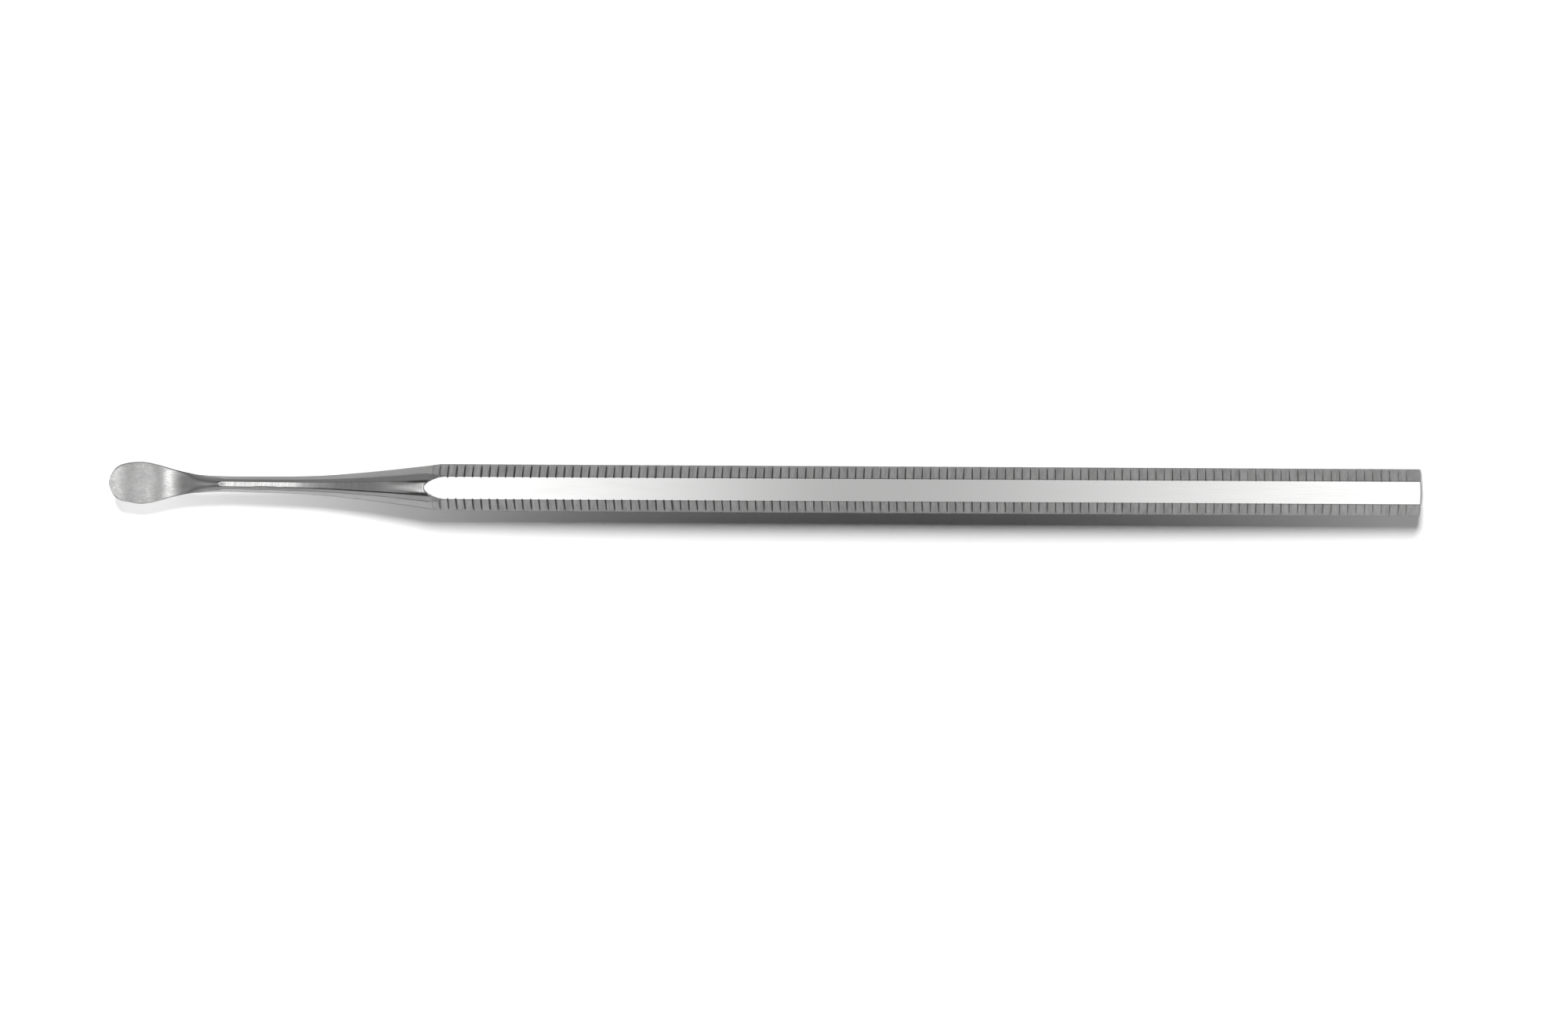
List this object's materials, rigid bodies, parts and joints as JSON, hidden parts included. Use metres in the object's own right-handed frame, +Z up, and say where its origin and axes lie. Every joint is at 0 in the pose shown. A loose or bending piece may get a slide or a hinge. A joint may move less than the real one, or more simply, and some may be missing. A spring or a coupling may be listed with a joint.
{
  "type": "dental elevator",
  "caption": "Slim all-steel periosteal elevator with a small spoon-shaped blade, a tapered shank and a cross-grooved hexagonal handle with a domed end.",
  "frame": {"origin": "under the middle of the instrument, on the surface that it rests on: halfway along its length, below the handle's axis, at the level of the handle's lower flat", "axes": "+X along the handle's axis from the blade's tip to the rear end, +Z up out of the smooth upper flat and the hollow side of the blade, +Y across the blade"},
  "size_m": [0.16, 0.0057, 0.005],
  "materials": {
    "ground_steel": "finely ground, satin on the blade",
    "polished_steel": "polished flats, lightly brushed flanks",
    "plug_steel": "ground flush with the handle's end",
    "silver_braze": "as brazed, with a faint warm tint"
  },
  "bodies": {
    "root": {"working_end": "ground_steel", "handle": "polished_steel", "end_plug": "plug_steel", "tang_braze": "silver_braze", "plug_braze": "silver_braze"}
  },
  "joints": []
}
